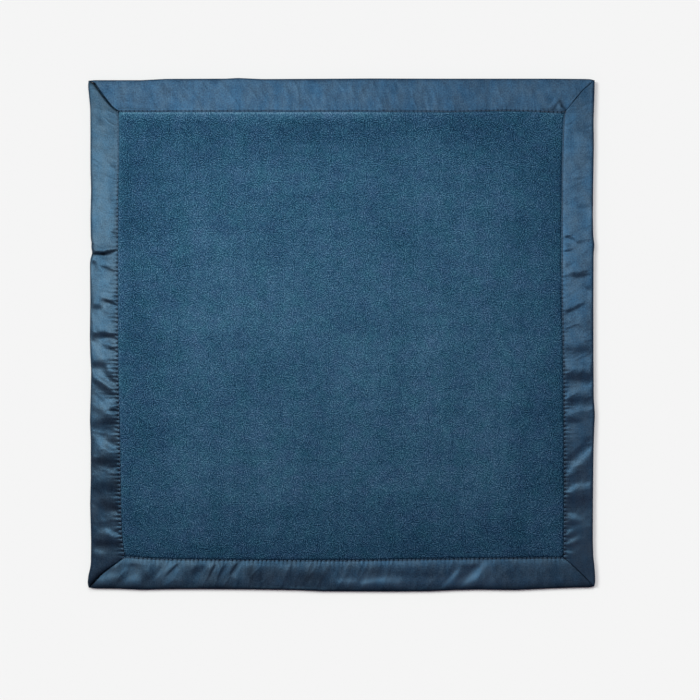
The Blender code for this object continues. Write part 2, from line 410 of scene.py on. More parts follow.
# How each side drapes: what is added to the plain section at u mm in from the outer fold, mm.
# The left side is pressed down at its seam, the top one stays up, the bottom one is rounded.
DRAPES = {
    "left": [(0, 0), (5, 0), (12, 0.06), (15.5, 0.04), (18, -0.18), (20, -0.34), (22, -0.30)],
    "right": [
        (0, 0), (0.5, 0.34), (1.0, 0.35), (2.0, 0.22), (3.5, 0.08), (5, 0), (12, 0), (17.5, 0.03),
        (19.5, 0.06), (21, 0), (22, 0),
    ],
    "top": [(0, 0), (5, -0.02), (12, 0.0), (17, 0.08), (19.5, 0.22), (20.7, 0.22), (21.5, 0.05), (22, 0)],
    "bottom": [
        (0, -0.3), (1.2, -0.70), (2.6, -0.52), (4.4, -0.14), (6.0, 0.04), (8, 0.10), (12, 0.02),
        (15, -0.03), (17.6, -0.04), (19.0, -0.26), (20.3, -0.68), (21.2, -0.86), (22, -0.84),
    ],
}  # fmt: skip
drapes = {name: smooth_line([(4 * u, z) for u, z in points], 3.0) for name, points in DRAPES.items()}
# How deep the thread presses a groove, mm
GROOVES = {"left": 0.26, "right": 0.04, "top": 0.34, "bottom": 0.02}

# How strongly each seam gathers the satin, along the side: (place in the picture, mm)
GATHERS = {
    "left": [(113, 0.02), (170, 0.05), (186, 0.16), (300, 0.22), (420, 0.36), (556, 0.36)],
    "right": [(113, 0.03), (230, 0.06), (330, 0.08), (420, 0.14), (520, 0.20), (555, 0.20)],
    "top": [(119, 0.10), (170, 0.07), (300, 0.05), (500, 0.07), (564, 0.10)],
    "bottom": [(123, 0.12), (180, 0.20), (320, 0.20), (440, 0.14), (562, 0.14)],
}
# How much the satin ripples between the creases: (place in the picture, share)
RIPPLES = {
    "left": [(80, 0.9), (180, 1.0), (250, 1.1), (330, 1.15), (420, 1.2), (590, 1.2)],
    "right": [(80, 1.2), (220, 1.4), (330, 1.2), (400, 0.9), (590, 0.75)],
    "top": [(80, 1.6), (300, 1.6), (480, 1.5), (600, 1.5)],
    "bottom": [(80, 2.0), (180, 2.4), (330, 1.8), (450, 1.6), (540, 1.0), (600, 0.8)],
}
gathers = {name: smooth_line(points, 10.0) for name, points in GATHERS.items()}
# Where the satin looks greyer than blue: (place in the picture, share)
TINTS = {
    name: smooth_line(points, 12.0)
    for name, points in {
        "left": [(80, 1.0), (590, 0.85)],
        "right": [(80, 0.25), (300, 0.30), (450, 0.50), (520, 0.80), (590, 1.0)],
        "top": [(80, 0.35), (150, 0.1), (500, 0.0), (600, 0.1)],
        "bottom": [(80, 0.9), (330, 0.6), (420, 0.35), (500, 0.5), (600, 0.9)],
    }.items()
}
# Where the satin is paler or deeper all over: (place in the picture, share)
LEVELS = {
    name: smooth_line(points, 14.0)
    for name, points in {
        "left": [
            (80, 0.08), (240, 0.14), (330, 0.06), (380, 0.12), (445, 0.16), (462, -0.08), (500, 0.0),
            (530, 0.14), (590, 0.0),
        ],
        "right": [
            (80, 0.0), (180, 0.0), (210, 0.10), (280, 0.02), (340, -0.08), (380, -0.10), (420, 0.06),
            (440, 0.22), (500, 0.36), (590, 0.50),
        ],
        "top": [(80, 0.0), (600, 0.0)],
        "bottom": [
            (80, 0.05), (130, 0.10), (170, 0.18), (205, 0.10), (250, -0.05), (300, 0.0), (335, 0.0),
            (380, 0.10), (415, 0.05), (470, 0.16), (500, 0.05), (600, 0.08),
        ],
    }.items()
}
# How much painted highlight the satin gets beside the seam: (place in the picture, share)
SEAM_HIGHLIGHTS = {
    name: smooth_line(points, 14.0)
    for name, points in {
        "left": [(80, 0.0), (600, 0.0)],
        "right": [(80, 0.30), (290, 0.30), (360, 0.0), (600, 0.0)],
        "top": [(80, 0.30), (380, 0.30), (450, 0.15), (500, 0.0), (600, 0.0)],
        "bottom": [(80, 0.35), (180, 0.50), (300, 0.65), (350, 0.55), (500, 0.65), (600, 0.4)],
    }.items()
}
# How much painted highlight the satin gets where it stands up between two stitches: (place in the picture, share)
BEAD_HIGHLIGHTS = {
    name: smooth_line(points, 14.0)
    for name, points in {
        "left": [(80, 0.0), (180, 0.1), (280, 0.5), (400, 0.9), (590, 0.9)],
        "right": [(80, 0.0), (400, 0.0), (500, 0.7), (590, 0.7)],
        "top": [(80, 0.25), (600, 0.25)],
        "bottom": [(80, 0.3), (600, 0.2)],
    }.items()
}
# How much shade is painted on the outer fold and how far in that reaches, mm
FOLD_SHADES = {"left": (0.0, 1.0), "right": (0.30, 1.2), "top": (0.20, 0.9), "bottom": (0.72, 2.4)}
ripples = {name: smooth_line(points, 10.0) for name, points in RIPPLES.items()}
grains = {
    (name, face): [Grain(100 * i + 10 * k + n) for n in range(6)]
    for i, name in enumerate(SIDES)
    for k, face in enumerate((1, -1))
}


def band_relief(bands, x, y):
    """Height in mm of the creases at a place in metres."""
    p, q = 342.0 + x / PIXEL, 333.5 - y / PIXEL
    made = np.zeros(np.broadcast(p, q).shape)
    for x0, y0, x1, y1, wide0, wide1, tilt in bands:
        long = np.hypot(x1 - x0, y1 - y0)
        tx, ty = (x1 - x0) / long, (y1 - y0) / long
        nx, ny = ty, -tx
        if -(nx + ny) < 0:  # the normal points to the upper left
            nx, ny = -nx, -ny
        a = ((p - x0) * tx + (q - y0) * ty) / long
        b = (p - x0) * nx + (q - y0) * ny
        # a crease is never quite straight
        b = b + 0.6 * np.sin(a * 3.1 + x0)
        wide = wide0 + (wide1 - wide0) * np.clip(a, 0, 1)
        soft = min(0.55, 6.0 / long)
        ends = step(-soft, soft, a) * step(-soft, soft, 1 - a)
        height = tilt * wide * PIXEL / MM
        b = b / wide
        made -= height * ends * np.tanh(1.4 * b) / 1.4 * np.exp(-b * b / 7.2)
    return made


# Where a crease is so deep that it lies in its own shade:
# (x0, y0, x1, y1, half width at each end in pixels, how dark)
SHADES = {
    "left": [
        (91, 254.0, 104, 254.4, 1.7, 1.6, 0.75),
        (103, 254.2, 119, 250.0, 1.6, 1.1, 0.60),
        (90, 244.0, 94, 244.2, 1.5, 1.0, 0.50),
        (113, 232, 119, 237.5, 1.2, 1.2, 0.45),
        (107, 301.2, 119, 303.4, 1.2, 1.1, 0.45),
        (106, 335.5, 120, 337.0, 1.4, 1.3, 0.35),
        (110, 348.4, 120, 350.0, 1.3, 1.1, 0.35),
        (108, 376, 118, 383, 1.8, 1.4, 0.22),
        (110, 394, 120, 398, 1.8, 1.6, 0.35),
        (112, 409.6, 121, 409.8, 1.4, 1.3, 0.50),
        (108, 423, 121, 424, 4.5, 4.5, 0.22),
        (101, 461, 121, 461.5, 4.2, 4.6, 0.42),
        (104, 505, 121, 505, 5.0, 5.0, 0.22),
        (95, 487, 121, 487, 6.0, 6.0, 0.16),
        (112, 530.6, 121, 531, 1.2, 1.2, 0.35),
        (98, 543, 121, 544, 3.0, 3.0, 0.25),
        (119.4, 404, 120.3, 500, 0.8, 0.8, 0.45),
        (120.3, 500, 122.0, 546, 0.8, 0.9, 0.50),
    ],
    "right": [
        (574, 275, 588, 273, 3.4, 2.6, 0.14),
        (566, 313, 583, 303, 1.8, 1.8, 0.12),
        (564, 236, 577, 243, 1.0, 1.0, 0.16),
    ],
    "bottom": [
        (168, 574, 178, 562.5, 1.2, 1.0, 0.30),
        (210, 575, 216, 562.5, 1.1, 0.9, 0.25),
        (218, 577, 226, 563.5, 1.5, 1.2, 0.20),
        (231, 573, 238, 562, 1.1, 1.0, 0.35),
        (251, 580, 251, 567, 4.0, 3.0, 0.16),
        (261, 582, 261, 567, 1.6, 1.4, 0.16),
        (291, 582, 291, 567, 1.8, 1.6, 0.18),
        (311, 583, 312, 570, 9.0, 8.0, 0.22),
    ],
    "top": [
        (119, 84, 122, 95, 2.2, 2.2, 0.12),
        (118, 98.5, 149, 104, 1.6, 1.6, 0.10),
        (554.5, 108.0, 558.0, 101.8, 1.3, 1.2, 0.38),
        (559.4, 102.2, 561.0, 106.8, 1.2, 1.3, 0.60),
        (561.5, 107, 564.5, 109, 1.3, 1.3, 0.40),
        (543, 109.8, 567, 110.8, 1.5, 1.5, 0.34),
        (119, 109.0, 150, 109.6, 1.3, 1.0, 0.35),
        (121, 106.5, 135, 107.5, 1.5, 1.5, 0.14),
    ],
}

# Painted highlights and painted shade where a swell of the satin would catch more of the light, or less, in the
# same form
GLINTS = {
    "left": [
        (108, 262, 115, 266, 2.5, 2.5, 0.15),
        (104, 380, 118, 388.5, 2.4, 2.4, 0.16),
        (103, 443, 113, 448, 3.6, 3.2, 0.16),
        (101, 474, 116, 474, 5.0, 5.0, -0.52),
        (106, 483, 116, 483, 7.0, 7.0, -0.50),
        (96, 494, 96, 512, 5.0, 5.0, 0.40),
        (110, 549, 116, 552, 5.0, 5.0, -0.25),
        (105, 316, 116, 326, 6.0, 6.0, 0.12),
        (106, 250, 112, 300, 6.0, 6.0, 0.05),
        (94, 416, 98, 430, 5.0, 5.0, 0.12),
        (108, 543, 118, 545, 5.0, 5.0, -0.20),
        (106, 529.5, 118, 535, 2.4, 2.2, 0.20),
        (93, 512, 106, 520, 5.0, 5.0, 0.12),
    ],
    "right": [
        (568, 282, 574, 298, 5.0, 5.0, 0.06),
        (587, 272, 587, 328, 4.5, 4.5, -0.26),
        (575, 406, 575, 424, 5.0, 5.0, -0.16),
        (587, 370, 587, 392, 4.5, 4.5, 0.14),
        (575, 434, 577, 446, 4.5, 4.5, 0.14),
        (580, 525, 582, 550, 7.0, 7.0, 0.14),
        (570, 470, 592, 447, 2.4, 2.4, 0.14),
    ],
    "bottom": [
        (94.5, 585.5, 106, 573.0, 0.9, 0.9, 0.80),
        (106, 573.0, 121.5, 560.8, 0.9, 0.9, 0.80),
        (99, 580, 112, 575.5, 4.0, 4.0, 0.68),
        (116, 582, 125, 576, 4.2, 4.2, -0.46),
        (128, 580, 139, 577, 4.0, 4.0, 0.46),
        (145, 580, 153, 573, 4.6, 4.6, -0.49),
        (158, 579, 171, 563, 3.0, 3.0, 0.46),
        (173, 577, 178, 570, 2.6, 2.4, 0.41),
        (186, 582, 200, 565, 4.5, 4.5, -0.27),
        (205, 570, 211, 564, 2.0, 2.0, 0.35),
        (211, 574, 218, 565, 1.4, 1.4, 0.30),
        (234, 576, 243, 564, 2.0, 2.0, 0.35),
        (251, 570, 256, 572, 6.0, 6.0, -0.46),
        (265, 568, 275, 580, 5.0, 5.0, 0.14),
        (283, 580, 289, 566, 3.0, 3.0, 0.19),
        (306, 578, 320, 578, 8.0, 8.0, -0.35),
        (340, 581, 355, 581, 3.2, 3.2, 0.35),
        (364, 581, 396, 579.6, 3.4, 3.4, 0.84),
        (352, 570, 400, 570, 4.6, 4.6, -0.30),
        (405, 575, 438, 574, 8.0, 8.0, -0.27),
        (444, 585, 459, 571, 2.6, 2.4, 0.46),
        (455, 577, 468, 567, 2.6, 2.4, -0.27),
        (464, 584, 487, 563, 4.4, 3.4, 0.57),
        (500, 571, 556, 571, 5.0, 5.0, -0.24),
        (400, 581, 560, 580, 4.0, 4.0, 0.24),
        (340, 579, 366, 579, 4.0, 4.0, 0.20),
        (408, 579, 462, 579, 4.0, 4.0, 0.26),
        (312, 579, 360, 579, 4.0, 4.0, 0.10),
        (254, 569, 278, 569, 5.0, 5.0, -0.34),
        (286, 569, 306, 569, 4.0, 4.0, 0.24),
        (196, 580, 248, 581, 4.0, 4.0, -0.16),
    ],
    "top": [
        (557.0, 107.5, 559.0, 108.5, 1.4, 1.4, 0.24),
        (549.5, 107.0, 555.0, 100.5, 1.1, 1.1, 0.30),
        (561.5, 100.0, 564.0, 106.0, 1.0, 1.0, 0.30),
        (152, 92, 175, 96, 5.0, 5.0, -0.10),
        (158, 101, 178, 101, 5.0, 5.0, 0.18),
        (228, 90, 232, 90, 12.0, 12.0, 0.24),
        (228, 101, 232, 101, 8.0, 8.0, 0.12),
        (292, 101, 296, 101, 10.0, 10.0, -0.24),
        (320, 89, 356, 89, 6.0, 6.0, 0.16),
        (412, 89, 426, 89, 6.0, 6.0, 0.12),
        (544, 89, 566, 87, 6.0, 6.0, 0.14),
        (124, 89, 140, 89, 5.0, 5.0, 0.10),
    ],
}


def strokes(marks, x, y):
    """How strong the marks are at a place in metres."""
    p, q = 342.0 + x / PIXEL, 333.5 - y / PIXEL
    made = np.zeros(np.broadcast(p, q).shape)
    for x0, y0, x1, y1, wide0, wide1, dark in marks:
        long = np.hypot(x1 - x0, y1 - y0)
        tx, ty = (x1 - x0) / long, (y1 - y0) / long
        a = (p - x0) * tx + (q - y0) * ty
        b = (p - x0) * ty - (q - y0) * tx
        wide = wide0 + (wide1 - wide0) * np.clip(a / long, 0, 1)
        over = a - np.clip(a, 0, long)
        made = made + dark * bell(b, wide) * bell(over, wide)
    return made


def satin_relief(side, face, x, y, u, s, to_end):
    """How far the satin stands off its plain section, in mm. face is 1 on the front, -1 behind."""
    name = side.name
    g = grains[(name, face)]
    along, into = s / MM, u
    pixel = side.pixel(s)
    if face > 0:
        creases = band_relief(BANDS[name], x, y)
        life, gather = ripples[name](pixel), gathers[name](pixel)
    else:
        creases, life, gather = 0.0, 0.75, 0.09
    skew = along + (0.45 if name in ("left", "right") else -0.45) * into
    ripple = (
        0.16 * g[0](skew, into, 11.0, 26.0)
        + 0.07 * g[1](skew, into, 4.6, 15.0)
        + 0.022 * g[2](skew, into, 1.9, 8.0)
    )
    ridge = 1 - np.abs(g[0](skew + 40, into, 8.0, 19.0) + 0.4 * g[1](skew, into + 9, 3.6, 9.0))
    ripple = ripple + 0.20 * (np.clip(ridge, 0, 1) ** 3 - 0.25)
    puff = 0.12 * g[3](along, into, 34.0, 60.0)
    field = step(0.2, 3.2, u) * (1 - 0.85 * bell(u - SEAM, 1.5)) * (1 - 0.8 * step(20.8, 21.7, u))
    # each needle hole pulls the satin in, and a short fold stands up between two holes
    count = side.phase(s)
    uneven = 1 + 0.45 * g[4](along, 0 * along, 2.2) + 0.3 * g[5](along, 0 * along, 7.0)
    reach = 2.2 + 2.2 * np.clip(g[5](along, 0 * along, 3.1), -0.6, 1)
    away = np.abs(u - SEAM)
    groove = GROOVES[name] if face > 0 else 0.12
    drape = drapes[name](4 * u) if face > 0 else 0.0
    pull = -np.cos(2 * np.pi * count) * np.exp(-away / reach) * uneven * gather
    near = step(-4.0, 2.0, to_end)
    seam = pull - groove * bell(away, 0.42 if name == "left" else 0.30)
    return (
        field * (creases + (ripple + puff) * life)
        + seam * near
        + drape
        - mitre_dip(side, u, s, to_end)
    )


# How each end of a strip dives into its mitre: (depth and reach of the fold itself, depth and
# reach of the hollow beside it), mm. At the lower left the bottom strip lies over the left one.
MITRES = {
    ("left", 1): (0.70, 0.60, 0.10, 2.2),
    ("top", 0): (0.60, 0.50, 0.06, 2.0),
    ("top", 1): (0.36, 0.45, 0.06, 2.0),
    ("right", 1): (0.30, 0.42, 0.03, 1.6),
    ("left", 0): (0.80, 0.80, 1.45, 2.5),
    ("bottom", 0): (0.10, 0.30, -0.15, 1.6),
    ("bottom", 1): (0.18, 0.32, -0.26, 1.3),
    ("right", 0): (0.50, 0.42, 0.03, 1.6),
}
# The mitres gape a little: how far each end is held back from its mitre line, mm
GAPES = {("left", 1): 0.25, ("top", 0): 0.20, ("left", 0): 0.25, ("top", 1): 0.08, ("right", 0): 0.08}
# How dark the painted shade in the crevice is at each end: (at the mitre line, reach in mm near the tip, at the
# seam)
CREVICES = {
    ("left", 1): (1.0, 1.75, 0.95),
    ("top", 0): (1.0, 0.70, 0.60),
    ("top", 1): (0.20, 0.45, 0.50),
    ("right", 1): (0.06, 0.40, 0.40),
    ("left", 0): (0.93, 3.0, 0.9),
    ("bottom", 0): (0.0, 0.3, 0.3),
    ("bottom", 1): (0.1, 0.4, 0.4),
    ("right", 0): (0.25, 0.38, 0.38),
}


def mitre_dip(side, u, s, to_end):
    """The satin dives into the mitre at its ends, mm."""
    made = 0.0
    for which in (0, 1):
        deep, reach, hollow, wide = MITRES[side.name, which]
        mine = (s > 0) == bool(which)
        made = made + mine * (deep * bell(to_end, reach) + hollow * bell(to_end, wide))
    return made * step(0.3, 2.6, u) * (1 - 0.62 * step(13.0, 19.5, u))


def crevice(side, u, s, to_end):
    """How deep in shade the satin is at its ends, from 0 to 1."""
    made = 0.0 * s
    for which in (0, 1):
        dark, tip, seam = CREVICES[side.name, which]
        mine = (s > 0) == bool(which)
        reach = tip + (seam - tip) * step(6.0, 20.0, u)
        made = made + mine * dark * bell(np.maximum(to_end, 0), reach)
    return made * step(0.0, 1.6, u)


# ---------------------------------------------------------------- meshes


def new_object(name, vertices, faces, material, rest=None, extra=None, uv_map=None):
    """A mesh object from arrays. faces is a list of (n, k) arrays of vertex numbers.

    rest is each vertex's place on the cloth as it lies; its X and Y are also the UV map.
    """
    loops, totals = [], []
    for group in faces:
        group = np.atleast_2d(np.asarray(group, np.int32))
        loops.append(group.ravel())
        totals.append(np.full(len(group), group.shape[1], np.int32))
    loops, totals = np.concatenate(loops), np.concatenate(totals)
    starts = np.concatenate([[0], np.cumsum(totals)[:-1]]).astype(np.int32)
    mesh = bpy.data.meshes.new(name)
    mesh.vertices.add(len(vertices))
    mesh.vertices.foreach_set("co", np.ascontiguousarray(vertices, np.float32).ravel())
    mesh.loops.add(len(loops))
    mesh.loops.foreach_set("vertex_index", loops)
    mesh.polygons.add(len(totals))
    mesh.polygons.foreach_set("loop_start", starts)
    mesh.polygons.foreach_set("loop_total", totals)
    mesh.update(calc_edges=True)
    mesh.validate()
    mesh.shade_smooth()
    # the place on the cloth as it lies, which the materials go by, also when it is folded
    held = mesh.attributes.new("cloth", "FLOAT_VECTOR", "POINT")
    rest = np.ascontiguousarray(vertices if rest is None else rest, np.float32)
    held.data.foreach_set("vector", rest.ravel())
    # places counted in stitches, distances from the seam and the like
    for key, values in (extra or {}).items():
        more = mesh.attributes.new(key, "FLOAT_VECTOR", "POINT")
        more.data.foreach_set("vector", np.ascontiguousarray(values, np.float32).ravel())
    uv = mesh.uv_layers.new(name="weave")
    flat = rest[:, :2] if uv_map is None else np.ascontiguousarray(uv_map, np.float32)
    uv.data.foreach_set("uv", np.ascontiguousarray(flat[loops]).ravel())
    obj = bpy.data.objects.new(name, mesh)
    obj.data.materials.append(material)
    bpy.context.scene.collection.objects.link(obj)
    return obj


def signed_volume(vertices, quads):
    a, b, c, d = (vertices[quads[:, i]] for i in range(4))
    return (np.einsum("ij,ij->i", a, np.cross(b, c)) + np.einsum("ij,ij->i", a, np.cross(c, d))).sum()


def thin_body(name, outer, inner, material, rest_outer, rest_inner, extra, uv_map):
    """A closed sheet with thickness from two grids of points, its rims closed."""
    rows, columns = outer.shape[:2]
    number = np.arange(rows * columns).reshape(rows, columns)
    far = number + rows * columns

    def quads(a, b, c, d):
        return np.stack([x.ravel() for x in (a, b, c, d)], 1)

    faces = [
        quads(number[:-1, :-1], number[1:, :-1], number[1:, 1:], number[:-1, 1:]),
        quads(far[:-1, 1:], far[1:, 1:], far[1:, :-1], far[:-1, :-1]),
        quads(number[1:, 0], number[:-1, 0], far[:-1, 0], far[1:, 0]),
        quads(number[:-1, -1], number[1:, -1], far[1:, -1], far[:-1, -1]),
        quads(number[0, :-1], number[0, 1:], far[0, 1:], far[0, :-1]),
        quads(number[-1, 1:], number[-1, :-1], far[-1, :-1], far[-1, 1:]),
    ]
    vertices = np.concatenate([outer.reshape(-1, 3), inner.reshape(-1, 3)])
    rest = np.concatenate([rest_outer.reshape(-1, 3), rest_inner.reshape(-1, 3)])
    everything = np.concatenate(faces)
    if signed_volume(vertices, everything) < 0:
        everything = everything[:, ::-1]
    extra = {key: np.concatenate([v.reshape(-1, 3)] * 2) for key, v in extra.items()}
    uv_map = np.concatenate([uv_map.reshape(-1, 2)] * 2)
    return new_object(name, vertices, [everything], material, rest, extra, uv_map)


def normals_of(grid):
    """Unit normals of a grid of points, whichever way its winding says."""
    down = np.gradient(grid, axis=0)
    over = np.gradient(grid, axis=1)
    n = np.cross(down, over)
    return n / np.maximum(np.linalg.norm(n, axis=-1, keepdims=True), 1e-12)


# ---------------------------------------------------------------- satin binding

HEM = [(14.0, 1.72), (17.2, 1.50), (19.8, 1.08), (20.9, 1.00), (21.5, 1.00)]
NOSE = [(21.88, 1.12), (22.0, 1.40), (21.86, 1.66)]
LEG = [
    (21.5, 1.79), (21.0, 1.78), (20.2, 1.88), (17.8, 2.22), (15.0, 2.45), (12.0, 2.56),
    (8.0, 2.58), (5.2, 2.56), (3.2, 2.50), (1.8, 2.36), (0.9, 2.04), (0.35, 1.56), (0.08, 0.86), (0.0, 0.0),
]  # fmt: skip


def section(spacing):
    """The satin's right side from the end of its hem, round the nose and up to the outer fold.

    Returns u, z and the length along the cloth, in mm.
    """
    curve = through(HEM + NOSE + LEG)
    length = np.concatenate([[0.0], np.cumsum(np.linalg.norm(np.diff(curve, axis=0), axis=1))])
    nose_at = length[np.argmax(curve[:, 0])]

    def gap(place):
        u = np.interp(place, length, curve[:, 0])
        hem = place < nose_at - 1.2
        wide = 0.95 - 0.55 * step(17.6, 18.6, u) - 0.45 * (1 - step(2.4, 4.0, u))
        wide = np.where(np.abs(place - nose_at) < 1.2, 0.32, wide)
        return np.where(hem, 2.0, wide) * spacing

    places = sampled(0.0, length[-1], gap)
    return np.interp(places, length, curve[:, 0]), np.interp(places, length, curve[:, 1]), places


def binding(side, material):
    """One strip of satin, from mitre to mitre, folded round the edge, its hems turned in."""
    front_u, front_z, front_w = section(1.0)
    back_u, back_z, back_w = section(1.35)
    u = np.concatenate([front_u, back_u[::-1][1:]])
    z = np.concatenate([front_z, -back_z[::-1][1:] * (2.46 / 2.58)])
    w = np.concatenate([front_w, 2 * front_w[-1] - back_w[::-1][1:]])
    face = np.concatenate([np.ones(len(front_u)), -np.ones(len(back_u) - 1)])
    length = float(side.end(0.0, 1)[0] - side.end(0.0, 0)[0]) / MM
    t = sampled(
        0.0,
        length,
        lambda d: 0.63 - 0.38 * (1 - step(0.6, 3.0, np.minimum(d, length - d))),
    ) / length
    f = (u / BINDING)[:, None]
    s_low = side.end(f, 0)[0] + 1.4 * GAPES.get((side.name, 0), 0.02) * MM * step(0.0, 0.12, f)
    s_high = side.end(f, 1)[0] - 1.4 * GAPES.get((side.name, 1), 0.02) * MM * step(0.0, 0.12, f)
    s = s_low + (s_high - s_low) * t[None, :]
    x, y = side.place(f, s)
    to_end = side.to_end(f, s)
    off = np.zeros_like(x)
    for sign in (1, -1):
        rows = face == sign
        off[rows] = satin_relief(
            side, sign, x[rows], y[rows], u[rows][:, None] + 0 * s[rows], s[rows], to_end[rows]
        )
    lift = face[:, None] * off
    height = MID + z[:, None] + lift
    floor = 0.03 + 0.5 * (z[:, None] > 0)
    height = floor + np.logaddexp(0, (height - floor) / 0.05) * 0.05
    outer = np.stack([x, y, height * MM], -1)
    normal = normals_of(outer)
    middle = np.argmin(np.abs(front_u - 9.0))
    if normal[middle, :, 2].mean() > 0:
        normal = -normal
    inner = outer + normal * SATIN_THICK * MM
    # along the strip, round the fold and which strip, as the weave lies
    rest_x = s if not side.upright else np.broadcast_to(w[:, None] * MM, s.shape)
    rest_y = np.broadcast_to(w[:, None] * MM, s.shape) if not side.upright else s
    rest = np.stack([rest_x, rest_y, np.full_like(s, 0.1 * list(SIDES).index(side.name))], -1)
    pixel = side.pixel(s)
    grey = TINTS[side.name](pixel)
    gather = np.where(face[:, None] > 0, gathers[side.name](pixel), 0.09)
    held = np.stack([side.phase(s), (u[:, None] - SEAM) + 0 * s, gather], -1)
    front = face[:, None] > 0
    # painted shade: in the mitre crevices, in the deepest creases and along the outer fold
    shaded = crevice(side, u[:, None] + 0 * s, s, to_end)
    place = outer[..., 0], outer[..., 1]
    shaded = np.maximum(shaded, front * np.minimum(strokes(SHADES[side.name], *place), 0.9))
    fold, reach = FOLD_SHADES[side.name]
    shaded = np.maximum(shaded, fold * bell(u[:, None] - 0.2, reach) + 0 * s)
    # painted highlight: the satin beside the seam is painted paler, as where it stands up and catches the light
    seam_highlight = SEAM_HIGHLIGHTS[side.name](pixel) * front * bell(u[:, None] - 20.5, 0.85)
    # and a painted highlight where the satin stands up between two needle holes
    bead = 0.5 - 0.5 * np.cos(2 * np.pi * side.phase(s))
    seam_highlight = seam_highlight + BEAD_HIGHLIGHTS[side.name](pixel) * front * bead**2 * bell(u[:, None] - 20.9, 0.7)
    # the tone along the strip, with the painted highlights and painted shade on top
    tone_and_painted_light = LEVELS[side.name](pixel) + front * strokes(GLINTS[side.name], *place) + seam_highlight
    look = np.stack([grey, shaded, tone_and_painted_light], -1)
    # the shine spreads across the strip, so the first axis of its map runs that way
    uv_map = np.stack([w[:, None] * MM + 0 * s, s], -1)
    return thin_body(
        f"satin_{side.name}", outer, inner, material, rest, rest,
        {"stitch": held, "look": look}, uv_map,
    )  # fmt: skip


# ---------------------------------------------------------------- fleece panels

PANEL_EDGE = 2.6
PANEL_PROFILE = [
    (2.6, 0.60), (3.6, 1.05), (5.5, 1.26), (13.0, 1.20), (17.3, 1.00), (20.0, 0.52), (21.4, 0.54),
    (21.75, 0.80), (22.0, 1.52), (22.3, 1.90), (22.9, 2.04), (25.0, 2.22), (28.0, 2.38), (34.0, 2.50),
]  # fmt: skip
pile = [Grain(900 + i) for i in range(12)]


